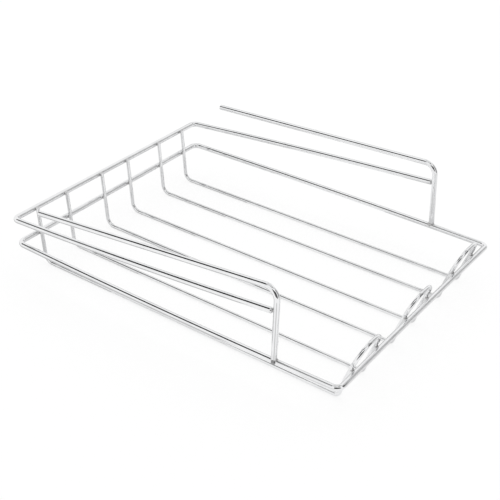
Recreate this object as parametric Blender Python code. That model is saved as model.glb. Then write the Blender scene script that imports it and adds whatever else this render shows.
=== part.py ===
"""Can rack that hangs under a fridge shelf, bent and welded from round steel wire.

Seven wires make it up. A closed loop frames the tray. A rail runs round the back and
up both sides, and ends on two posts. Each post bends back into a long arm that lies on
the shelf, and the shelf slides in between arm and rail. Three hairpin wires hang below
the loop as lanes for the cans. Each goes down behind the cans, forward under them, up
behind the front bar, over a hump that stops the first can, and back the same way.

The front faces -Y. The origin is below the middle of the rack, on the plane of the
flats under the lane wires. Wire sizes are measured between wire centres.
"""
import math

import bpy
from mathutils import Vector

# Wire stock
FRAME_WIRE_RADIUS = 0.0025
LANE_WIRE_RADIUS = 0.0017
CLEARANCE = 0.0003

# Tray frame, a closed loop
TRAY_WIDTH = 0.250
TRAY_DEPTH = 0.3345
TRAY_CORNER_RADIUS = 0.009
SIDE_SWELL = 0.0020
FRONT_DIP = 0.0006

# Top rail, whose heights are above the tray frame
RAIL_OUTSET = 0.0004
RAIL_OVERHANG = 0.0020
RAIL_BACK_HEIGHT = 0.0237
RAIL_FRONT_HEIGHT = 0.0446
RAIL_CORNER_RADIUS = 0.010
RAIL_SWELL = 0.0019

# Posts, and the arms that they bend into
POST_SETBACK = 0.0562
POST_LEAN_BACK = 0.0014
POST_FOOT_OUTSET = 0.0006
ARM_INSET = 0.0019
ARM_HEIGHT = 0.0639
ARM_REACH = 0.2433
ARM_FLARE = 0.0033
ARM_CORNER_RADIUS = 0.010

# The left arm is sprung nearer to its rail than the right one
LEFT_ARM_DROP = 0.0214
RIGHT_ARM_DROP = 0.0123

# Lane wires
LANE_NAMES = ("left", "middle", "right")
LANE_WIDTH = 0.0363
LANE_SIDE_MARGIN = 0.0241
FLOOR_DEPTH = 0.0284
FLOOR_BEND_RADIUS = 0.008
ELBOW_RADIUS = 0.005
HUMP_HEIGHT = 0.0195
HUMP_LEAN = math.radians(19.5)
LEG_KNEE_DROP = 0.0112
LEG_LEAN = math.radians(14.5)
LEG_BEND_RADIUS = 0.020
HUMP_RADIUS = 0.016
LANE_TIP_RISE = 0.0025

# How finely the wires are drawn
BEVEL_STEPS = 4
WIRE_SIDES = 2 * (BEVEL_STEPS + 2)
ARC_STEP = math.radians(15)
SWELL_SPANS = 6

# Flats of the wires turn to face straight down
FLAT_TURN = math.pi / WIRE_SIDES
FLAT_SHARE = math.cos(FLAT_TURN)


def swelling(position, length, swell):
    """How far a bowed run stands off its straight line at a position along it."""
    share = position / length
    return swell * 4 * share * (1 - share)


# Places measured from the tray's front corners, before the whole part is centred
LAP = FRAME_WIRE_RADIUS + LANE_WIRE_RADIUS + CLEARANCE
OUTER_LANE_X = TRAY_WIDTH / 2 - LANE_SIDE_MARGIN - LANE_WIDTH / 2
LANE_PITCH = 2 * OUTER_LANE_X / (len(LANE_NAMES) - 1)
OUTER_HUMP_DIP = swelling(TRAY_WIDTH / 2 + OUTER_LANE_X, TRAY_WIDTH, FRONT_DIP)
HUMP_TOP_Y = OUTER_HUMP_DIP + LAP / math.cos(HUMP_LEAN) - HUMP_HEIGHT * math.tan(HUMP_LEAN)
FRONT_REACH = min(HUMP_TOP_Y - LANE_WIRE_RADIUS, -FRAME_WIRE_RADIUS)
BACK_REACH = TRAY_DEPTH + RAIL_OVERHANG + FRAME_WIRE_RADIUS

# Places in the frame of the whole part
FRONT_Y = -(FRONT_REACH + BACK_REACH) / 2
BACK_Y = FRONT_Y + TRAY_DEPTH
TRAY_Z = LANE_WIRE_RADIUS * FLAT_SHARE + FLOOR_DEPTH
KNEE_Z = TRAY_Z - LEG_KNEE_DROP


def clear_scene():
    """Take every object out of the open scene."""
    for thing in list(bpy.data.objects):
        bpy.data.objects.remove(thing)


def chrome(name, tint):
    """A bright plated steel for one wire."""
    material = bpy.data.materials.new(name)
    material.use_nodes = True
    shader = material.node_tree.nodes["Principled BSDF"]
    shader.inputs["Base Color"].default_value = (*tint, 1)
    shader.inputs["Metallic"].default_value = 1
    shader.inputs["Roughness"].default_value = 0.12
    material.diffuse_color = (*tint, 1)
    return material


def corner_arc(before, corner, after, radius):
    """The arc that rounds one corner of a path, kept to half of each leg beside it."""
    towards_before = before - corner
    towards_after = after - corner
    half_angle = towards_before.angle(towards_after) / 2
    room = min(towards_before.length, towards_after.length) / 2
    setback = min(radius / math.tan(half_angle), room)
    radius = setback * math.tan(half_angle)
    towards_before.normalize()
    towards_after.normalize()
    middle = (towards_before + towards_after).normalized()
    centre = corner + middle * (radius / math.sin(half_angle))
    first = (corner + towards_before * setback - centre).normalized()
    last = (corner + towards_after * setback - centre).normalized()
    steps = max(2, math.ceil((math.pi - 2 * half_angle) / ARC_STEP))
    return [centre + first.slerp(last, step / steps) * radius for step in range(steps + 1)]


def bent(corners, closed=False):
    """A path through (place, bend radius) pairs; a pair with no radius stays as it is."""
    path = []
    for index, (place, radius) in enumerate(corners):
        at_end = not closed and index in (0, len(corners) - 1)
        if at_end or not radius:
            path.append(place)
            continue
        before = corners[index - 1][0]
        after = corners[(index + 1) % len(corners)][0]
        path.extend(corner_arc(before, place, after, radius))
    return path


def bowed_run(start, end, outward, swell):
    """The places between two corners that are joined by a slightly bowed run."""
    run = []
    for span in range(1, SWELL_SPANS):
        share = span / SWELL_SPANS
        run.append((start.lerp(end, share) + outward * swelling(share, 1, swell), 0))
    return run


def wire(name, path, radius, tint, closed=False):
    """One round wire along a path, with a flat of its sides turned down."""
    curve = bpy.data.curves.new(name, "CURVE")
    curve.dimensions = "3D"
    curve.twist_mode = "MINIMUM"
    curve.bevel_depth = radius
    curve.bevel_resolution = BEVEL_STEPS
    curve.use_fill_caps = not closed
    curve.materials.append(chrome(name + "_chrome", tint))
    spline = curve.splines.new("POLY")
    spline.points.add(len(path) - 1)
    for point, place in zip(spline.points, path):
        point.co = (*place, 1)
        point.tilt = FLAT_TURN
    spline.use_cyclic_u = closed
    spline.use_smooth = True
    thing = bpy.data.objects.new(name, curve)
    bpy.context.scene.collection.objects.link(thing)
    return thing


def tray_side(y):
    """Half the width of the tray frame at a place along its bowed side."""
    return TRAY_WIDTH / 2 + swelling(y - FRONT_Y, TRAY_DEPTH, SIDE_SWELL)


def tray_front(x):
    """Where the front bar lies at a place along it; its middle dips inwards."""
    return FRONT_Y + swelling(x + TRAY_WIDTH / 2, TRAY_WIDTH, FRONT_DIP)


def build_base_frame():
    """The closed loop that the lanes hang from and the posts stand on."""
    half = TRAY_WIDTH / 2
    front_left = Vector((-half, FRONT_Y, TRAY_Z))
    front_right = Vector((half, FRONT_Y, TRAY_Z))
    back_right = Vector((half, BACK_Y, TRAY_Z))
    back_left = Vector((-half, BACK_Y, TRAY_Z))
    right = Vector((1, 0, 0))
    back = Vector((0, 1, 0))
    corners = [(front_left, TRAY_CORNER_RADIUS)]
    corners += bowed_run(front_left, front_right, back, FRONT_DIP)
    corners.append((front_right, TRAY_CORNER_RADIUS))
    corners += bowed_run(front_right, back_right, right, SIDE_SWELL)
    corners.append((back_right, TRAY_CORNER_RADIUS))
    corners.append((back_left, TRAY_CORNER_RADIUS))
    corners += bowed_run(back_left, front_left, -right, SIDE_SWELL)
    wire("base_frame", bent(corners, closed=True), FRAME_WIRE_RADIUS, (0.80, 0.81, 0.83), closed=True)


def post_foot(side):
    """The lower end of a post, standing on the crown of the tray's side wire."""
    y = FRONT_Y + POST_SETBACK
    return Vector((side * (tray_side(y) + POST_FOOT_OUTSET), y, TRAY_Z + FRAME_WIRE_RADIUS + CLEARANCE))


def post_top(side):
    """The corner, before it is rounded, where a post turns into its arm."""
    y = FRONT_Y + POST_SETBACK + POST_LEAN_BACK
    return Vector((side * (TRAY_WIDTH / 2 - ARM_INSET), y, TRAY_Z + ARM_HEIGHT))


def post_at_height(side, z):
    """The middle of a post at a height."""
    foot = post_foot(side)
    top = post_top(side)
    return foot.lerp(top, (z - foot.z) / (top.z - foot.z))


def build_top_rail():
    """The U that closes the back and both sides, butted against the backs of the posts."""
    half = TRAY_WIDTH / 2 + RAIL_OUTSET
    back_y = BACK_Y + RAIL_OVERHANG
    corners = []
    for side in (-1, 1):
        outward = Vector((side, 0, 0))
        post = post_at_height(side, TRAY_Z + RAIL_FRONT_HEIGHT)
        end = Vector((side * half, post.y + FRAME_WIRE_RADIUS + CLEARANCE, TRAY_Z + RAIL_FRONT_HEIGHT))
        corner = Vector((side * half, back_y, TRAY_Z + RAIL_BACK_HEIGHT))
        run = [(end, 0)] + bowed_run(end, corner, outward, RAIL_SWELL) + [(corner, RAIL_CORNER_RADIUS)]
        corners += run if side < 0 else reversed(run)
    wire("top_rail", bent(corners), FRAME_WIRE_RADIUS, (0.78, 0.79, 0.81))


def build_arm(name, side, drop):
    """An arm and its post, one wire bent at the front and cut square at both ends."""
    top = post_top(side)
    tip = top + Vector((side * ARM_FLARE, ARM_REACH, -drop))
    corners = [(tip, 0), (top, ARM_CORNER_RADIUS), (post_foot(side), 0)]
    wire(name, bent(corners), FRAME_WIRE_RADIUS, (0.82, 0.83, 0.85))


def back_wall_y(z):
    """Where a lane wire runs at a height as it leans back over both back bars."""
    lean = math.atan2(RAIL_OVERHANG, RAIL_BACK_HEIGHT)
    return BACK_Y + (z - TRAY_Z) * math.tan(lean) - LAP / math.cos(lean)


def hump_y(x, z):
    """Where a leg of a hump runs at a height; it stands steeper below its knee."""
    behind_bar = tray_front(x) + LAP / math.cos(HUMP_LEAN)
    rise = max(z, KNEE_Z) - TRAY_Z
    drop = KNEE_Z - min(z, KNEE_Z)
    return behind_bar - rise * math.tan(HUMP_LEAN) + drop * math.tan(LEG_LEAN)


def lane_half(x):
    """One run of a lane from its tip at the back to the corner on top of its hump."""
    floor_z = TRAY_Z - FLOOR_DEPTH
    tip_z = TRAY_Z + RAIL_BACK_HEIGHT + LANE_TIP_RISE
    hump_z = TRAY_Z + HUMP_HEIGHT
    hump_radius = min(HUMP_RADIUS, LANE_WIDTH / 2)
    return [
        (Vector((x, back_wall_y(tip_z), tip_z)), 0),
        (Vector((x, back_wall_y(floor_z), floor_z)), FLOOR_BEND_RADIUS),
        (Vector((x, hump_y(x, floor_z), floor_z)), ELBOW_RADIUS),
        (Vector((x, hump_y(x, KNEE_Z), KNEE_Z)), LEG_BEND_RADIUS),
        (Vector((x, hump_y(x, hump_z), hump_z)), hump_radius),
    ]


def build_lane_wire(name, centre_x):
    """A hairpin wire that carries one row of cans and humps up in front of it."""
    left = lane_half(centre_x - LANE_WIDTH / 2)
    right = lane_half(centre_x + LANE_WIDTH / 2)
    wire(name, bent(left + right[::-1]), LANE_WIRE_RADIUS, (0.76, 0.77, 0.79))


def main():
    clear_scene()
    build_base_frame()
    build_top_rail()
    build_arm("left_arm", -1, LEFT_ARM_DROP)
    build_arm("right_arm", 1, RIGHT_ARM_DROP)
    for index, label in enumerate(LANE_NAMES):
        build_lane_wire(label + "_lane_wire", index * LANE_PITCH - OUTER_LANE_X)


main()
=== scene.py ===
"""Looks of the chrome can rack: smooth round wires, welds, cut ends, plating, floor and light.

Each wire runs on the centre line of the solid that it stands for, in the same frame:
metres, front towards -Y, +Z up, origin below the middle of the rack.
"""

import math

import bmesh
import bpy
import numpy as np
from mathutils import Matrix, Vector, noise


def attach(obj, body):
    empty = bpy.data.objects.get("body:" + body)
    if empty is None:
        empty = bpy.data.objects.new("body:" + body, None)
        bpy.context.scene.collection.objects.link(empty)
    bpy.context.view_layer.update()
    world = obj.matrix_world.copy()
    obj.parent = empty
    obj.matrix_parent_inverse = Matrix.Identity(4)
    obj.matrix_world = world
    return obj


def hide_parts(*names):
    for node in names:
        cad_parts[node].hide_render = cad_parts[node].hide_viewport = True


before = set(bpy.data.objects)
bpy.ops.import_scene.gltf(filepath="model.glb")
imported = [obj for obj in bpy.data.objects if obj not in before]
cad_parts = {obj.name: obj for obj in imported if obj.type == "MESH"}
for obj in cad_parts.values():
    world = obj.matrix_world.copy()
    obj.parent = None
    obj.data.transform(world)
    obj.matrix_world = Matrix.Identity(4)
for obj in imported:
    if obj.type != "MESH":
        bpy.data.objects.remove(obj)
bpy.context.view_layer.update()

# Wire stock
FRAME_WIRE_RADIUS = 0.0025
LANE_WIRE_RADIUS = 0.0017
CLEARANCE = 0.0003

# Tray frame, a closed loop
TRAY_WIDTH = 0.250
TRAY_DEPTH = 0.3345
TRAY_CORNER_RADIUS = 0.009
SIDE_SWELL = 0.0020
FRONT_DIP = 0.0006

# Top rail, whose heights are above the tray frame
RAIL_OUTSET = 0.0004
RAIL_OVERHANG = 0.0020
RAIL_BACK_HEIGHT = 0.0237
RAIL_FRONT_HEIGHT = 0.0446
RAIL_CORNER_RADIUS = 0.010
RAIL_SWELL = 0.0019

# Posts, and the arms that they bend into
POST_SETBACK = 0.0562
POST_LEAN_BACK = 0.0014
POST_FOOT_OUTSET = 0.0006
ARM_INSET = 0.0019
ARM_HEIGHT = 0.0639
ARM_REACH = 0.2433
ARM_FLARE = 0.0033
ARM_CORNER_RADIUS = 0.010
LEFT_ARM_DROP = 0.0214
RIGHT_ARM_DROP = 0.0123

# Lane wires
LANE_NAMES = ("left", "middle", "right")
LANE_WIDTH = 0.0363
LANE_SIDE_MARGIN = 0.0241
FLOOR_DEPTH = 0.0284
FLOOR_BEND_RADIUS = 0.008
ELBOW_RADIUS = 0.005
HUMP_HEIGHT = 0.0195
HUMP_LEAN = math.radians(19.5)
LEG_KNEE_DROP = 0.0112
LEG_LEAN = math.radians(14.5)
LEG_BEND_RADIUS = 0.020
HUMP_RADIUS = 0.016
LANE_TIP_RISE = 0.0025

# The solids have twelve sides, so the flats that the rack stands on lie a little inside its round wires
FLAT_SHARE = math.cos(math.pi / 12)

# How finely the wires are drawn
ROUND_STEPS = 32
ARC_STEP = math.radians(4)
SWELL_SPANS = 24
LONGEST_SPAN = 0.008

# Below these a first span counts as upright, and two places count as one
UPRIGHT_LIMIT = 0.1
MERGE_DISTANCE = 1e-6

# Wire ends: arms and lane wires are sheared off, and the rail's rounder ends sit in their welds
CUT_CHAMFER = 0.00025
RAIL_END_ROUND = 0.0013
END_FACE_SHARES = (0.0, 0.6, 0.95)
END_ROUND_STEPS = 5
END_RUN_SHARE = 1.5

# Welds of any kind
WELD_ROUND = 36
WELD_RISE = 10
HEAT_SHARE = 0.25
HEAT_REACH = 0.0010
SEED_STRIDES = (3.1, 1.7, 2.3)

# Welds where a lane wire crosses a thick wire
CROSS_WAIST = 0.0011
CROSS_SKIRT = 0.0016
CROSS_SKIRT_STRETCH = 0.0003
CROSS_FLARE_POWER = 2.2
CROSS_RAGGED_SHARE = 0.16
CROSS_RAGGED_SCALE = 2.1
CROSS_SIDE_SHARE = 0.97
CROSS_CAP_SHARE = 0.8
CROSS_SINK = 0.00003

# Welds round a wire's end
BUTT_START_SHARE = 0.9
BUTT_WIDEST_TURN = 1.45
BUTT_RAGGED_SHARE = 0.22
BUTT_RAGGED_SCALE = 1.9
POST_FOOT_SPREAD = 0.0010
POST_FOOT_RISE = 0.0010
RAIL_END_SPREAD = 0.0007
RAIL_END_RISE = 0.0004
RAIL_END_SEEDS = 20

# Beads of weld metal on the tray frame, outside the posts' feet
BEAD_HALF_LENGTH = 0.0024
BEAD_HALF_WIDTH = 0.0025
BEAD_HALF_HEIGHT = 0.0021
BEAD_OUT_SHARE = 0.84
BEAD_UP_SHARE = 0.54
BEAD_OFFSET = 0.0015
BEAD_FORWARD = 0.0004
BEAD_RAGGED_SHARE = 0.2
BEAD_RAGGED_SCALE = 1.8
BEAD_SEEDS = 40

# Chrome: colours where it is bright and dull, of stained metal, and of the beads' burnt metal
FRAME_COLOURS = ((0.87, 0.873, 0.88), (0.81, 0.814, 0.822))
ARM_COLOURS = ((0.88, 0.883, 0.89), (0.82, 0.824, 0.832))
LANE_COLOURS = ((0.86, 0.863, 0.87), (0.79, 0.794, 0.802))
STAINED_COLOUR = (0.43, 0.425, 0.42)
BURNT_COLOUR = (0.15, 0.15, 0.152)

# Chrome: how often its marks come in a metre, how the drawn lines stretch along the wire, and the grain
DRAWN_SCALE = 2600
DRAWN_STRETCH = (0.02, 1.0, 1.0)
RIPPLE_SCALE = 420
SPECK_SCALE = 1500
FINE_DETAIL = 2
HAZE_SCALE = 55
HAZE_DETAIL = 4
FINE_GRAIN = 0.5
HAZE_GRAIN = 0.6

# Chrome: which span of a mark counts, and the stain, roughness or height that it turns into
WHOLE_SPAN = (0, 1)
HAZE_COLOUR_SPAN = (0.35, 0.62)
HAZE_ROUGH_SPAN = (0.4, 0.75)
HAZE_ROUGH = (0.03, 0.07)
DRAWN_ROUGH_SPAN = (0.3, 0.8)
DRAWN_ROUGH = (0.0, 0.03)
SPECK_SPAN = (0.3, 0.7)
SPECK_STAIN = (0.6, 1.0)
CUT_STAIN = (0, 0.6)
BARE_ROUGH = (0.0, 0.32)
RIPPLE_HEIGHT = (0, 1.0)
DRAWN_HEIGHT = (0, 0.22)
BUMP_STRENGTH = 0.12
BUMP_DISTANCE = 0.00004

# Floor: its glow and matt shade for the camera and in the chrome, and its plain shade for other light
FLOOR_REACH = 12.0
FLOOR_DROP = 0.0002
FLOOR_SHOWN = (0.78, 0.24)
FLOOR_MIRRORED = (0.40, 0.66)
FLOOR_SHADE = 0.80

# World: how bright it shows, and how bright it lights
WORLD_SHOWN = 1.0
WORLD_LIGHT = 0.80

# Soft lamps: name, place, what it faces, width, height and power
LAMPS = (
    ("overhead", (1.3, 0.4, 1.5), (1.3, 0.4, 0), 2.8, 3.6, 11),
    ("left_side", (-1.5, 1.05, 0.60), (0, 1.05, 0.60), 2.6, 1.2, 4.2),
)

# Cards overhead: name, shade, the ends of one edge, and the ends of the edge across from it
SEAM_RIGHT = (-0.07, 0.88, 0.94)
SEAM_LEFT = (-0.81, 0.88, 0.70)
OVERHEAD_CARDS = (
    ("overhead_flag", 0.01,
     ((-0.13, 0.27, 0.92), SEAM_RIGHT), ((-0.76, 0.27, 0.72), SEAM_LEFT)),
    ("overhead_flag_back", 0.18,
     (SEAM_RIGHT, (-0.04, 1.30, 0.96)), (SEAM_LEFT, (-0.84, 1.30, 0.68))),
    ("overhead_edge", 0.45,
     ((-0.12, 0.10, 0.92), (-0.12, 0.27, 0.92)), ((-0.74, 0.10, 0.72), (-0.74, 0.27, 0.72))),
    ("overhead_left", 0.45,
     ((-0.45, -0.45, 1.0), (-0.20, -0.45, 1.1)), ((-0.45, 0.09, 1.0), (-0.20, 0.09, 1.1))),
    ("overhead_right", 0.45,
     ((0.20, -0.45, 1.1), (0.45, -0.45, 1.0)), ((0.20, 0.26, 1.1), (0.45, 0.26, 1.0))),
    ("overhead_front", 0.45,
     ((-0.20, -0.60, 1.0), (0.20, -0.60, 1.0)), ((-0.20, -0.35, 1.1), (0.20, -0.35, 1.1))),
)

# Upright cards: name, shade, the floor places of both ends, and there the heights of the low and high edge
CAMERA_FLAG_FOLD = (-0.60, -0.68)
FRONT_WALL_ENDS = ((0.33, -0.75), (1.80, -0.75))
FRONT_WALL_TOP = (0.80, 1.72)
UPRIGHT_CARDS = (
    ("front_flag", 0.12, ((0.10, -0.82), (0.35, -0.655)), (0.02, 0.02), (0.80, 0.80)),
    ("camera_flag", 0.08, ((-0.85, -0.30), CAMERA_FLAG_FOLD), (0.04, 0.04), (0.80, 0.80)),
    ("camera_flag_right", 0.14, (CAMERA_FLAG_FOLD, (-0.24, -0.86)), (0.04, 0.04), (0.80, 0.66)),
    ("front_wall", 0.60, FRONT_WALL_ENDS, (0, 0), FRONT_WALL_TOP),
    ("front_wall_edge", 0.70, FRONT_WALL_ENDS, FRONT_WALL_TOP, (1.00, 2.05)),
    ("right_side", 0.72, ((0.62, 0.05), (0.40, 0.45)), (0, 0), (0.30, 0.30)),
)

# Cards on the floor, painted floor shade for the chrome: name, shade, and the left, right, front and back
# edge
PAINTED_FLOOR_SHADE_CARDS = (
    ("front_floor_near", 0.90, -0.09, 0.60, -0.30, -0.152),
    ("front_floor_far", 0.84, -0.05, 1.80, -0.75, -0.30),
    ("back_floor", 0.88, -0.107, 0.60, 0.08, 0.80),
    ("left_floor", 0.70, -0.20, -0.107, -0.045, 0.80),
    ("right_post_floor", 0.78, 0.025, 0.060, -0.15, -0.05),
    ("right_post_floor", 0.78, 0.070, 0.096, -0.15, -0.05),
    ("right_post_floor", 0.78, 0.106, 0.240, -0.15, -0.05),
)
# The grey card in front of the left post is painted floor shade as well
POST_FLOOR_OUTLINE = ((-0.159, -0.117), (-0.293, -0.150), (-0.250, -0.227), (-0.151, -0.131))
POST_FLOOR_SHADE = 0.68
CARD_DROP = 0.0001
CARD_ROUGHNESS = 0.9

# Camera, as solved from the photograph
CAMERA_PLACE = (-0.625976, -0.445198, 0.503853)
CAMERA_AIM = (-0.009705, -0.003784, 0.030000)
CAMERA_ROLL = 0.9825
CAMERA_LENS = 72.769
SENSOR_WIDTH = 36


def swelling(position, length, swell):
    """How far a bowed run stands off its straight line at a position along it."""
    share = position / length
    return swell * 4 * share * (1 - share)


# Places worked out from the sizes
LAP = FRAME_WIRE_RADIUS + LANE_WIRE_RADIUS + CLEARANCE
OUTER_LANE_X = TRAY_WIDTH / 2 - LANE_SIDE_MARGIN - LANE_WIDTH / 2
LANE_PITCH = 2 * OUTER_LANE_X / (len(LANE_NAMES) - 1)
LANE_CENTRES = [index * LANE_PITCH - OUTER_LANE_X for index in range(len(LANE_NAMES))]
LANE_RUNS = [x + side * LANE_WIDTH / 2 for x in LANE_CENTRES for side in (-1, 1)]
OUTER_HUMP_DIP = swelling(TRAY_WIDTH / 2 + OUTER_LANE_X, TRAY_WIDTH, FRONT_DIP)
HUMP_TOP_Y = OUTER_HUMP_DIP + LAP / math.cos(HUMP_LEAN) - HUMP_HEIGHT * math.tan(HUMP_LEAN)
FRONT_REACH = min(HUMP_TOP_Y - LANE_WIRE_RADIUS, -FRAME_WIRE_RADIUS)
BACK_REACH = TRAY_DEPTH + RAIL_OVERHANG + FRAME_WIRE_RADIUS
FRONT_Y = -(FRONT_REACH + BACK_REACH) / 2
BACK_Y = FRONT_Y + TRAY_DEPTH
TRAY_Z = LANE_WIRE_RADIUS * FLAT_SHARE + FLOOR_DEPTH
KNEE_Z = TRAY_Z - LEG_KNEE_DROP
RAIL_BACK_Y = BACK_Y + RAIL_OVERHANG
RAIL_BACK_Z = TRAY_Z + RAIL_BACK_HEIGHT
RAIL_FRONT_Z = TRAY_Z + RAIL_FRONT_HEIGHT
BACK_LEAN = math.atan2(RAIL_OVERHANG, RAIL_BACK_HEIGHT)
UP = Vector((0, 0, 1))
RIGHT = Vector((1, 0, 0))
BACK = Vector((0, 1, 0))


# Centre lines
def corner_arc(before, corner, after, radius):
    """The arc that rounds one corner of a path, kept to half of each leg beside it."""
    towards_before = before - corner
    towards_after = after - corner
    half_angle = towards_before.angle(towards_after) / 2
    room = min(towards_before.length, towards_after.length) / 2
    setback = min(radius / math.tan(half_angle), room)
    radius = setback * math.tan(half_angle)
    towards_before.normalize()
    towards_after.normalize()
    middle = (towards_before + towards_after).normalized()
    centre = corner + middle * (radius / math.sin(half_angle))
    first = (corner + towards_before * setback - centre).normalized()
    last = (corner + towards_after * setback - centre).normalized()
    steps = max(2, math.ceil((math.pi - 2 * half_angle) / ARC_STEP))
    return [centre + first.slerp(last, step / steps) * radius for step in range(steps + 1)]


def bent(corners, closed=False):
    """A path through (place, bend radius) pairs; a pair with no radius stays as it is."""
    path = []
    for index, (place, radius) in enumerate(corners):
        at_end = not closed and index in (0, len(corners) - 1)
        if at_end or not radius:
            path.append(place)
            continue
        before = corners[index - 1][0]
        after = corners[(index + 1) % len(corners)][0]
        path.extend(corner_arc(before, place, after, radius))
    return path


def bowed_run(start, end, outward, swell):
    """The places between two corners that are joined by a slightly bowed run."""
    run = []
    for span in range(1, SWELL_SPANS):
        share = span / SWELL_SPANS
        run.append((start.lerp(end, share) + outward * swelling(share, 1, swell), 0))
    return run


def tray_side(y):
    return TRAY_WIDTH / 2 + swelling(y - FRONT_Y, TRAY_DEPTH, SIDE_SWELL)


def tray_front(x):
    return FRONT_Y + swelling(x + TRAY_WIDTH / 2, TRAY_WIDTH, FRONT_DIP)


def base_frame_path():
    half = TRAY_WIDTH / 2
    front_left = Vector((-half, FRONT_Y, TRAY_Z))
    front_right = Vector((half, FRONT_Y, TRAY_Z))
    back_right = Vector((half, BACK_Y, TRAY_Z))
    back_left = Vector((-half, BACK_Y, TRAY_Z))
    corners = [(front_left, TRAY_CORNER_RADIUS)]
    corners += bowed_run(front_left, front_right, BACK, FRONT_DIP)
    corners.append((front_right, TRAY_CORNER_RADIUS))
    corners += bowed_run(front_right, back_right, RIGHT, SIDE_SWELL)
    corners.append((back_right, TRAY_CORNER_RADIUS))
    corners.append((back_left, TRAY_CORNER_RADIUS))
    corners += bowed_run(back_left, front_left, -RIGHT, SIDE_SWELL)
    return bent(corners, closed=True)


def post_foot(side):
    y = FRONT_Y + POST_SETBACK
    return Vector((side * (tray_side(y) + POST_FOOT_OUTSET), y, TRAY_Z + FRAME_WIRE_RADIUS + CLEARANCE))


def post_top(side):
    y = FRONT_Y + POST_SETBACK + POST_LEAN_BACK
    return Vector((side * (TRAY_WIDTH / 2 - ARM_INSET), y, TRAY_Z + ARM_HEIGHT))


def post_at_height(side, z):
    foot = post_foot(side)
    top = post_top(side)
    return foot.lerp(top, (z - foot.z) / (top.z - foot.z))


def rail_run(side):
    """Half of the top rail's corners, from its end at the post to its back corner."""
    half = TRAY_WIDTH / 2 + RAIL_OUTSET
    post = post_at_height(side, RAIL_FRONT_Z)
    end = Vector((side * half, post.y + FRAME_WIRE_RADIUS + CLEARANCE, RAIL_FRONT_Z))
    corner = Vector((side * half, RAIL_BACK_Y, RAIL_BACK_Z))
    return [(end, 0)] + bowed_run(end, corner, RIGHT * side, RAIL_SWELL) + [(corner, RAIL_CORNER_RADIUS)]


def rail_path():
    return bent(rail_run(-1) + rail_run(1)[::-1])


def arm_path(side, drop):
    top = post_top(side)
    tip = top + Vector((side * ARM_FLARE, ARM_REACH, -drop))
    return bent([(tip, 0), (top, ARM_CORNER_RADIUS), (post_foot(side), 0)])


def back_wall_y(z):
    return BACK_Y + (z - TRAY_Z) * math.tan(BACK_LEAN) - LAP / math.cos(BACK_LEAN)


def hump_y(x, z):
    behind_bar = tray_front(x) + LAP / math.cos(HUMP_LEAN)
    rise = max(z, KNEE_Z) - TRAY_Z
    drop = KNEE_Z - min(z, KNEE_Z)
    return behind_bar - rise * math.tan(HUMP_LEAN) + drop * math.tan(LEG_LEAN)


def lane_half(x):
    """One run of a lane from its tip at the back to the corner on top of its hump."""
    floor_z = TRAY_Z - FLOOR_DEPTH
    tip_z = RAIL_BACK_Z + LANE_TIP_RISE
    hump_z = TRAY_Z + HUMP_HEIGHT
    return [
        (Vector((x, back_wall_y(tip_z), tip_z)), 0),
        (Vector((x, back_wall_y(floor_z), floor_z)), FLOOR_BEND_RADIUS),
        (Vector((x, hump_y(x, floor_z), floor_z)), ELBOW_RADIUS),
        (Vector((x, hump_y(x, KNEE_Z), KNEE_Z)), LEG_BEND_RADIUS),
        (Vector((x, hump_y(x, hump_z), hump_z)), min(HUMP_RADIUS, LANE_WIDTH / 2)),
    ]


def lane_path(centre_x):
    left = lane_half(centre_x - LANE_WIDTH / 2)
    right = lane_half(centre_x + LANE_WIDTH / 2)
    return bent(left + right[::-1])


# Where the welds sit
def bar_welds():
    """By piece, each weld's centre, its way from thin to thick wire, and the thin wire's way."""
    leg = Vector((0, -math.sin(HUMP_LEAN), math.cos(HUMP_LEAN)))
    out_front = Vector((0, -math.cos(HUMP_LEAN), -math.sin(HUMP_LEAN)))
    wall = Vector((0, math.sin(BACK_LEAN), math.cos(BACK_LEAN)))
    out_back = Vector((0, math.cos(BACK_LEAN), -math.sin(BACK_LEAN)))
    reach = FRAME_WIRE_RADIUS + CLEARANCE / 2
    places = {"front_bar_welds": [], "back_bar_welds": [], "rail_back_welds": []}
    for x in LANE_RUNS:
        front = Vector((x, tray_front(x), TRAY_Z))
        back = Vector((x, BACK_Y, TRAY_Z))
        rail = Vector((x, RAIL_BACK_Y, RAIL_BACK_Z))
        places["front_bar_welds"].append((front - out_front * reach, out_front, leg))
        places["back_bar_welds"].append((back - out_back * reach, out_back, wall))
        places["rail_back_welds"].append((rail - out_back * reach, out_back, wall))
    return places


def all_weld_spots(places):
    """One place in the middle of each weld, bar welds first."""
    spots = [weld[0] for welds in places.values() for weld in welds]
    for side in (-1, 1):
        spots.append(post_foot(side))
        spots.append(rail_run(side)[0][0])
    return np.array([tuple(spot) for spot in spots])


BAR_WELDS = bar_welds()
WELD_SPOTS = all_weld_spots(BAR_WELDS)


# Mesh makers
def new_piece(name, vertices, faces, material, marks):
    """A smooth mesh that rides on the rack and the marks that its chrome reads."""
    space, heat, cut = marks
    mesh = bpy.data.meshes.new(name)
    mesh.from_pydata([tuple(v) for v in vertices], [], faces)
    mesh.update()
    mesh.polygons.foreach_set("use_smooth", [True] * len(mesh.polygons))
    layer = mesh.attributes.new("wire_space", "FLOAT_VECTOR", "POINT")
    layer.data.foreach_set("vector", np.ravel(space))
    for label, values in (("weld_heat", heat), ("cut_end", cut)):
        layer = mesh.attributes.new(label, "FLOAT", "POINT")
        layer.data.foreach_set("value", np.ravel(values))
    mesh.materials.append(material)
    piece = bpy.data.objects.new(name, mesh)
    bpy.context.scene.collection.objects.link(piece)
    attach(piece, "root")
    return piece


def band_faces(first, rings, around, closed=False):
    """The faces between rings of vertices, where the first ring starts at a given vertex."""
    faces = []
    for ring in range(rings if closed else rings - 1):
        lower = first + ring * around
        upper = first + (ring + 1) % rings * around
        for step in range(around):
            beside = (step + 1) % around
            faces.append((lower + step, lower + beside, upper + beside, upper + step))
    return faces


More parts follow.
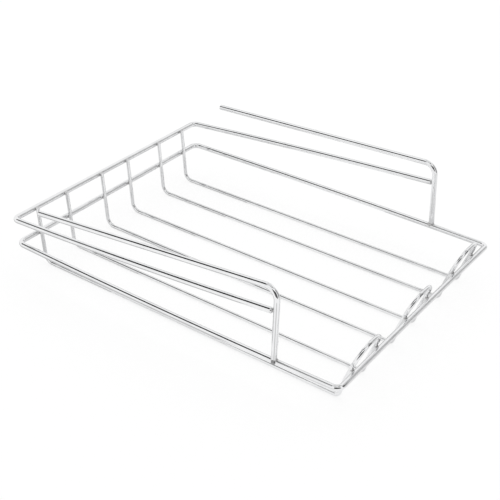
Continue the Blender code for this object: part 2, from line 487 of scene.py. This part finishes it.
def divided(path, closed):
    """The path with its long straight spans cut into short ones."""
    fine = []
    spans = list(zip(path, path[1:] + path[:1])) if closed else list(zip(path, path[1:]))
    for start, end in spans:
        pieces = max(1, math.ceil((end - start).length / LONGEST_SPAN))
        fine.extend(start.lerp(end, piece / pieces) for piece in range(pieces))
    return fine if closed else fine + [path[-1]]


def path_frames(path, closed):
    """Places, and unit tangent, side and top vectors at each, without twist."""
    places = np.array([tuple(p) for p in path])
    if closed:
        ahead = np.roll(places, -1, 0) - places
        behind = places - np.roll(places, 1, 0)
    else:
        step = np.diff(places, axis=0)
        ahead = np.vstack([step, step[-1:]])
        behind = np.vstack([step[:1], step])
    ahead /= np.linalg.norm(ahead, axis=1)[:, None]
    behind /= np.linalg.norm(behind, axis=1)[:, None]
    tangents = ahead + behind
    tangents /= np.linalg.norm(tangents, axis=1)[:, None]
    first = np.cross(tangents[0], UP)
    if np.linalg.norm(first) < UPRIGHT_LIMIT:
        first = np.cross(tangents[0], BACK)
    sides = [first / np.linalg.norm(first)]
    for tangent in tangents[1:]:
        carried = sides[-1] - tangent * np.dot(sides[-1], tangent)
        sides.append(carried / np.linalg.norm(carried))
    sides = np.array(sides)
    if closed:
        sides = closed_up(sides, tangents)
    return places, tangents, sides, np.cross(tangents, sides)


def closed_up(sides, tangents):
    """The side vectors of a loop, turned a little at each place so that its two ends meet."""
    carried = sides[-1] - tangents[0] * np.dot(sides[-1], tangents[0])
    carried /= np.linalg.norm(carried)
    other = np.cross(tangents[0], sides[0])
    slip = math.atan2(np.dot(carried, other), np.dot(carried, sides[0]))
    turns = -slip * np.arange(len(sides)) / len(sides)
    tops = np.cross(tangents, sides)
    return sides * np.cos(turns)[:, None] + tops * np.sin(turns)[:, None]


def trimmed_end(radius, end_round):
    """(way in from the end, radius) of the rings that close a wire's end, from its middle out."""
    flat = radius - end_round
    rings = [(0.0, flat * share) for share in END_FACE_SHARES]
    for step in range(END_ROUND_STEPS + 1):
        turn = math.pi / 2 * step / END_ROUND_STEPS
        rings.append((end_round * (1 - math.cos(turn)), radius - end_round * (1 - math.sin(turn))))
    rings.append((end_round * END_RUN_SHARE, radius))
    return rings


def round_wire(name, path, radius, material, node, closed=False, end_round=CUT_CHAMFER):
    """A smooth round wire with trimmed ends, which stands for one solid."""
    places, tangents, sides, tops = path_frames(divided(path, closed), closed)
    along = np.concatenate([[0], np.cumsum(np.linalg.norm(np.diff(places, axis=0), axis=1))])
    rings = [(index, 0.0, radius) for index in range(len(places))]
    if not closed:
        trim = trimmed_end(radius, end_round)
        start = [(0, shift, reach) for shift, reach in trim]
        end = [(-1, -shift, reach) for shift, reach in reversed(trim)]
        rings = start + rings[1:-1] + end
    sheared = end_round < RAIL_END_ROUND
    vertices, space, cut = [], [], []
    for index, shift, reach in rings:
        on_cut = sheared and reach < radius - end_round / 2
        for step in range(ROUND_STEPS):
            turn = 2 * math.pi * step / ROUND_STEPS
            outward = sides[index] * math.cos(turn) + tops[index] * math.sin(turn)
            vertices.append(places[index] + tangents[index] * shift + outward * reach)
            space.append((along[index], math.cos(turn) * radius, math.sin(turn) * radius))
            cut.append(float(on_cut))
    vertices = np.array(vertices)
    faces = band_faces(0, len(rings), ROUND_STEPS, closed)
    gap = np.linalg.norm(vertices[:, None] - WELD_SPOTS[None], axis=2).min(axis=1)
    heat = HEAT_SHARE * np.exp(-np.maximum(gap - radius, 0) / HEAT_REACH)
    piece = new_piece(name, vertices, faces, material, (space, heat, cut))
    if not closed:
        weld_loose_tips(piece)
    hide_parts(node)


def weld_loose_tips(piece):
    """Merge the rings that close a cut end to a point."""
    mesh = bmesh.new()
    mesh.from_mesh(piece.data)
    bmesh.ops.remove_doubles(mesh, verts=mesh.verts, dist=MERGE_DISTANCE)
    mesh.to_mesh(piece.data)
    mesh.free()


# Weld shapes, each as rows of places round it and the two places that close it
def wobble(place, scale, seed):
    return noise.noise(Vector(place) * scale + Vector([seed * stride for stride in SEED_STRIDES]))


def eased(share):
    """A share that starts and ends gently."""
    return share * share * (3 - 2 * share)


def below_crest(radius, aside):
    """How far a round wire's surface lies below its crest, at a distance to one side of it."""
    aside = min(abs(aside), radius * CROSS_SIDE_SHARE)
    return radius - math.sqrt(radius ** 2 - aside ** 2)


def cross_weld(centre, outward, thin_way, seed):
    """The fillet squeezed out where a lane wire crosses a thick wire, which runs left to right."""
    across = outward.cross(RIGHT).normalized()
    beside_thin = thin_way.cross(outward)
    rows = []
    for rise in range(WELD_RISE + 1):
        level = 2 * rise / WELD_RISE - 1
        share = eased((level + 1) / 2)
        row = []
        for step in range(WELD_ROUND):
            turn = 2 * math.pi * step / WELD_ROUND
            way = RIGHT * math.cos(turn) + across * math.sin(turn)
            ragged = 1 + CROSS_RAGGED_SHARE * wobble(way, CROSS_RAGGED_SCALE, seed)
            waist = CROSS_WAIST * ragged
            skirt = (CROSS_SKIRT + CROSS_SKIRT_STRETCH * abs(math.cos(turn))) * ragged
            off = way * (waist + (skirt - waist) * abs(level) ** CROSS_FLARE_POWER)
            thin_top = -CLEARANCE / 2 - below_crest(LANE_WIRE_RADIUS, off.dot(beside_thin)) - CROSS_SINK
            thick_top = CLEARANCE / 2 + below_crest(FRAME_WIRE_RADIUS, off.dot(across)) + CROSS_SINK
            row.append(centre + off + outward * (thin_top * (1 - share) + thick_top * share))
        rows.append(row)
    low = centre - outward * LANE_WIRE_RADIUS * CROSS_CAP_SHARE
    high = centre + outward * FRAME_WIRE_RADIUS * CROSS_CAP_SHARE
    return rows, low, high


def butt_weld(end, up, bar_point, bar_way, radius, seed, spread, rise):
    """The fillet round a wire's end that is welded against the side of another wire."""
    across = bar_way.cross(up).normalized()
    rows = []
    for level in range(WELD_RISE + 1):
        share = level / WELD_RISE
        blend = eased(share)
        row = []
        for step in range(WELD_ROUND):
            turn = 2 * math.pi * step / WELD_ROUND
            way = bar_way * math.cos(turn) + across * math.sin(turn)
            ragged = 1 + BUTT_RAGGED_SHARE * wobble(way, BUTT_RAGGED_SCALE, seed)
            lift = rise * ragged * (1 - share)
            on_wire = end + way * radius + up * lift
            reach = radius * BUTT_START_SHARE + spread * ragged * share
            wrap = reach * math.sin(turn) / FRAME_WIRE_RADIUS
            wrap = max(-BUTT_WIDEST_TURN, min(BUTT_WIDEST_TURN, wrap))
            on_bar = (bar_point + bar_way * reach * math.cos(turn)
                      + across * FRAME_WIRE_RADIUS * math.sin(wrap)
                      + up * FRAME_WIRE_RADIUS * math.cos(wrap))
            row.append(on_wire * (1 - blend) + on_bar * blend)
        rows.append(row)
    return rows, end + up * rise, bar_point


def bead(centre, outward, seed):
    """A lumpy bead of weld metal that lies along the tray frame's side."""
    across = outward.cross(BACK).normalized()
    rows = []
    for level in range(1, WELD_RISE):
        tilt = math.pi * level / WELD_RISE
        row = []
        for step in range(WELD_ROUND):
            turn = 2 * math.pi * step / WELD_ROUND
            way = BACK * math.cos(turn) * BEAD_HALF_LENGTH + across * math.sin(turn) * BEAD_HALF_WIDTH
            spot = way * math.sin(tilt) - outward * math.cos(tilt) * BEAD_HALF_HEIGHT
            ragged = 1 + BEAD_RAGGED_SHARE * wobble(spot.normalized(), BEAD_RAGGED_SCALE, seed)
            row.append(centre + spot * ragged)
        rows.append(row)
    return rows, centre - outward * BEAD_HALF_HEIGHT, centre + outward * BEAD_HALF_HEIGHT


def weld_piece(name, built, material):
    """One object that holds several welds."""
    vertices, faces = [], []
    for rows, low, high in built:
        first = len(vertices)
        for row in rows:
            vertices.extend(row)
        last = len(vertices) - WELD_ROUND
        low_index = len(vertices)
        high_index = low_index + 1
        vertices.append(low)
        vertices.append(high)
        faces += band_faces(first, len(rows), WELD_ROUND)
        for step in range(WELD_ROUND):
            beside = (step + 1) % WELD_ROUND
            faces.append((first + beside, first + step, low_index))
            faces.append((last + step, last + beside, high_index))
    space = [tuple(v) for v in vertices]
    marks = (space, np.ones(len(vertices)), np.zeros(len(vertices)))
    new_piece(name, vertices, faces, material, marks)


# Shader nodes
def fill(tree, node, inputs):
    """Give a node's inputs their values, and link those that come from other nodes."""
    for socket, value in inputs.items():
        if isinstance(value, bpy.types.NodeSocket):
            tree.links.new(value, node.inputs[socket])
        else:
            node.inputs[socket].default_value = value


def add_node(tree, kind, inputs, **settings):
    node = tree.nodes.new("ShaderNode" + kind)
    for label, value in settings.items():
        setattr(node, label, value)
    fill(tree, node, inputs)
    return node


def noise_value(tree, vector, scale, detail=FINE_DETAIL, grain=FINE_GRAIN):
    inputs = {"Vector": vector, "Scale": scale, "Detail": detail, "Roughness": grain}
    return add_node(tree, "TexNoise", inputs).outputs["Fac"]


def ranged(tree, value, span, result):
    """A value whose span is stretched to a result span."""
    low, high = span
    to_low, to_high = result
    inputs = {"Value": value, "From Min": low, "From Max": high, "To Min": to_low, "To Max": to_high}
    return add_node(tree, "MapRange", inputs).outputs["Result"]


def joined(tree, operation, first, second):
    return add_node(tree, "Math", {0: first, 1: second}, operation=operation).outputs[0]


def mixed_colour(tree, share, first, second):
    """A colour between two; a Mix node has its colours at inputs 6 and 7 and their mix at output 2."""
    return add_node(tree, "Mix", {0: share, 6: first, 7: second}, data_type="RGBA").outputs[2]


def mixed_shader(tree, share, first, second):
    return add_node(tree, "MixShader", {0: share, 1: first, 2: second}).outputs[0]


def grey(shade):
    return (shade, shade, shade, 1)


def seen_by(tree, *kinds):
    """1 for the rays of these kinds, and 0 for all others."""
    path = add_node(tree, "LightPath", {})
    value = path.outputs["Is " + kinds[0] + " Ray"]
    for kind in kinds[1:]:
        value = joined(tree, "MAXIMUM", value, path.outputs["Is " + kind + " Ray"])
    return value


# Chrome plating
def chrome(name, colours, stained=STAINED_COLOUR):
    """Plated wire: drawn lines, faint ripple, haze, and darker rough metal by the welds."""
    material = bpy.data.materials.new(name)
    material.use_nodes = True
    tree = material.node_tree
    bright, dull = colours

    space = add_node(tree, "Attribute", {}, attribute_name="wire_space").outputs["Vector"]
    heat = add_node(tree, "Attribute", {}, attribute_name="weld_heat").outputs["Fac"]
    cut = add_node(tree, "Attribute", {}, attribute_name="cut_end").outputs["Fac"]
    lines = add_node(tree, "VectorMath", {0: space, 1: DRAWN_STRETCH}, operation="MULTIPLY").outputs[0]
    drawn = noise_value(tree, lines, DRAWN_SCALE)
    ripple = noise_value(tree, space, RIPPLE_SCALE)
    specks = noise_value(tree, space, SPECK_SCALE)
    haze = noise_value(tree, space, HAZE_SCALE, HAZE_DETAIL, HAZE_GRAIN)

    clean = mixed_colour(tree, ranged(tree, haze, HAZE_COLOUR_SPAN, WHOLE_SPAN), (*dull, 1), (*bright, 1))
    stain = joined(tree, "MULTIPLY", heat, ranged(tree, specks, SPECK_SPAN, SPECK_STAIN))
    stain = joined(tree, "MAXIMUM", stain, ranged(tree, cut, WHOLE_SPAN, CUT_STAIN))
    colour = mixed_colour(tree, stain, clean, (*stained, 1))

    hazy = ranged(tree, haze, HAZE_ROUGH_SPAN, HAZE_ROUGH)
    lined = ranged(tree, drawn, DRAWN_ROUGH_SPAN, DRAWN_ROUGH)
    bare = ranged(tree, joined(tree, "MAXIMUM", heat, cut), WHOLE_SPAN, BARE_ROUGH)
    roughness = joined(tree, "MAXIMUM", joined(tree, "ADD", hazy, lined), bare)

    rippled = ranged(tree, ripple, WHOLE_SPAN, RIPPLE_HEIGHT)
    scored = ranged(tree, drawn, WHOLE_SPAN, DRAWN_HEIGHT)
    height = joined(tree, "ADD", rippled, scored)
    height = joined(tree, "ADD", height, joined(tree, "MULTIPLY", specks, heat))
    bump = add_node(tree, "Bump", {"Height": height, "Strength": BUMP_STRENGTH, "Distance": BUMP_DISTANCE})

    fill(tree, tree.nodes["Principled BSDF"], {
        "Metallic": 1.0,
        "Base Color": colour,
        "Roughness": roughness,
        "Normal": bump.outputs[0],
    })
    return material


frame_chrome = chrome("frame_chrome", FRAME_COLOURS)
arm_chrome = chrome("arm_chrome", ARM_COLOURS)
lane_chrome = chrome("lane_chrome", LANE_COLOURS)
bead_chrome = chrome("bead_chrome", ARM_COLOURS, BURNT_COLOUR)

# The wires
round_wire("base_frame_wire", base_frame_path(), FRAME_WIRE_RADIUS, frame_chrome,
           "base_frame", closed=True)
round_wire("top_rail_wire", rail_path(), FRAME_WIRE_RADIUS, frame_chrome,
           "top_rail", end_round=RAIL_END_ROUND)
for side, label, drop in ((-1, "left", LEFT_ARM_DROP), (1, "right", RIGHT_ARM_DROP)):
    round_wire(label + "_arm_wire", arm_path(side, drop), FRAME_WIRE_RADIUS, arm_chrome,
               label + "_arm")
for label, centre_x in zip(LANE_NAMES, LANE_CENTRES):
    round_wire(label + "_lane_round_wire", lane_path(centre_x), LANE_WIRE_RADIUS, lane_chrome,
               label + "_lane_wire")

# The welds, each with a seed of its own
seed = 0
for name, welds in BAR_WELDS.items():
    built = []
    for centre, outward, thin_way in welds:
        seed += 1
        built.append(cross_weld(centre, outward, thin_way, seed))
    weld_piece(name, built, frame_chrome)

feet, beads, ends = [], [], []
for side in (-1, 1):
    seed += 1
    foot = post_foot(side)
    post_way = (post_top(side) - foot).normalized()
    under_foot = Vector((side * tray_side(foot.y), foot.y, TRAY_Z))
    feet.append(butt_weld(foot, post_way, under_foot, BACK, FRAME_WIRE_RADIUS, seed,
                          POST_FOOT_SPREAD, POST_FOOT_RISE))
    bead_way = Vector((side * BEAD_OUT_SHARE, 0, BEAD_UP_SHARE)).normalized()
    bead_middle = under_foot + bead_way * BEAD_OFFSET - BACK * BEAD_FORWARD
    beads.append(bead(bead_middle, bead_way, seed + BEAD_SEEDS))
    run = rail_run(side)
    rail_end = run[0][0]
    rail_way = (run[1][0] - rail_end).normalized()
    post_middle = post_at_height(side, rail_end.z)
    ends.append(butt_weld(rail_end, rail_way, post_middle, post_way, FRAME_WIRE_RADIUS - RAIL_END_ROUND,
                          seed + RAIL_END_SEEDS, RAIL_END_SPREAD, RAIL_END_RISE))
weld_piece("post_foot_welds", feet, arm_chrome)
weld_piece("post_foot_beads", beads, bead_chrome)
weld_piece("rail_end_welds", ends, frame_chrome)


# Floor
def glowing(tree, glow, shade):
    """A matt surface that also glows, so that a shadow takes only a part of its light away."""
    matt = add_node(tree, "BsdfDiffuse", {"Color": grey(shade)})
    light = add_node(tree, "Emission", {"Strength": glow})
    return add_node(tree, "AddShader", {0: matt.outputs[0], 1: light.outputs[0]}).outputs[0]


def floor_material():
    """Pale floor that shows white where nothing shades it, and keeps the shadow."""
    material = bpy.data.materials.new("pale_floor")
    material.use_nodes = True
    tree = material.node_tree
    tree.nodes.clear()
    plain = add_node(tree, "BsdfDiffuse", {"Color": grey(FLOOR_SHADE)}).outputs[0]
    shown = glowing(tree, *FLOOR_SHOWN)
    mirrored = glowing(tree, *FLOOR_MIRRORED)
    surface = mixed_shader(tree, seen_by(tree, "Camera", "Transmission"), plain, shown)
    surface = mixed_shader(tree, seen_by(tree, "Glossy"), surface, mirrored)
    add_node(tree, "OutputMaterial", {"Surface": surface})
    return material


floor_mesh = bpy.data.meshes.new("floor")
floor_corners = [(x * FLOOR_REACH, y * FLOOR_REACH, 0) for x, y in ((-1, -1), (1, -1), (1, 1), (-1, 1))]
floor_mesh.from_pydata(floor_corners, [], [(0, 1, 2, 3)])
floor_mesh.materials.append(floor_material())
floor = bpy.data.objects.new("floor", floor_mesh)
floor.location.z = -FLOOR_DROP
bpy.context.scene.collection.objects.link(floor)


# World
def background(tree, strength):
    return add_node(tree, "Background", {"Color": grey(1), "Strength": strength}).outputs[0]


world = bpy.data.worlds.new("studio")
bpy.context.scene.world = world
world.use_nodes = True
world_tree = world.node_tree
world_tree.nodes.clear()
sky = mixed_shader(
    world_tree,
    seen_by(world_tree, "Camera", "Glossy", "Transmission"),
    background(world_tree, WORLD_LIGHT),
    background(world_tree, WORLD_SHOWN),
)
add_node(world_tree, "OutputWorld", {"Surface": sky})


# Lamps and cards
def softbox(name, place, aim, width, height, power):
    """A soft lamp that neither the camera nor the chrome shows."""
    light = bpy.data.lights.new(name, "AREA")
    light.shape = "RECTANGLE"
    light.size = width
    light.size_y = height
    light.energy = power
    lamp = bpy.data.objects.new(name, light)
    lamp.location = place
    lamp.rotation_euler = (Vector(aim) - Vector(place)).to_track_quat("-Z", "Y").to_euler()
    lamp.visible_camera = False
    lamp.visible_glossy = False
    bpy.context.scene.collection.objects.link(lamp)


def card(name, corners, shade):
    """A matt studio card that only reflections show, for the dark and grey lines in the chrome.

    A corner at height 0 goes just above the floor.
    """
    mesh = bpy.data.meshes.new(name)
    mesh.from_pydata([(x, y, z or -CARD_DROP) for x, y, z in corners], [], [(0, 1, 2, 3)])
    material = bpy.data.materials.new(name)
    material.use_nodes = True
    tree = material.node_tree
    fill(tree, tree.nodes["Principled BSDF"], {
        "Base Color": grey(shade),
        "Roughness": CARD_ROUGHNESS,
        "Specular IOR Level": 0.0,
    })
    mesh.materials.append(material)
    thing = bpy.data.objects.new(name, mesh)
    thing.visible_camera = False
    thing.visible_diffuse = False
    thing.visible_shadow = False
    bpy.context.scene.collection.objects.link(thing)


for name, place, aim, width, height, power in LAMPS:
    softbox(name, place, aim, width, height, power)
for name, shade, edge, edge_across in OVERHEAD_CARDS:
    card(name, [*edge, *reversed(edge_across)], shade)
for name, shade, (first, second), lows, highs in UPRIGHT_CARDS:
    corners = [(*first, lows[0]), (*second, lows[1]), (*second, highs[1]), (*first, highs[0])]
    card(name, corners, shade)
# The floor cards are painted shade: grey sheets where the floor near the rack lies in shade
for name, shade, left, right, front, back in PAINTED_FLOOR_SHADE_CARDS:
    card(name, [(left, front, 0), (right, front, 0), (right, back, 0), (left, back, 0)], shade)
card("post_floor", [(x, y, 0) for x, y in POST_FLOOR_OUTLINE], POST_FLOOR_SHADE)

# Camera
camera_data = bpy.data.cameras.new("camera")
camera_data.lens = CAMERA_LENS
camera_data.sensor_width = SENSOR_WIDTH
camera = bpy.data.objects.new("camera", camera_data)
look = Vector(CAMERA_AIM) - Vector(CAMERA_PLACE)
aimed = look.to_track_quat("-Z", "Y").to_matrix().to_4x4()
rolled = Matrix.Rotation(math.radians(CAMERA_ROLL), 4, "Z")
camera.matrix_world = Matrix.Translation(CAMERA_PLACE) @ aimed @ rolled
bpy.context.scene.collection.objects.link(camera)
bpy.context.scene.camera = camera

bpy.context.scene.view_settings.view_transform = "Standard"
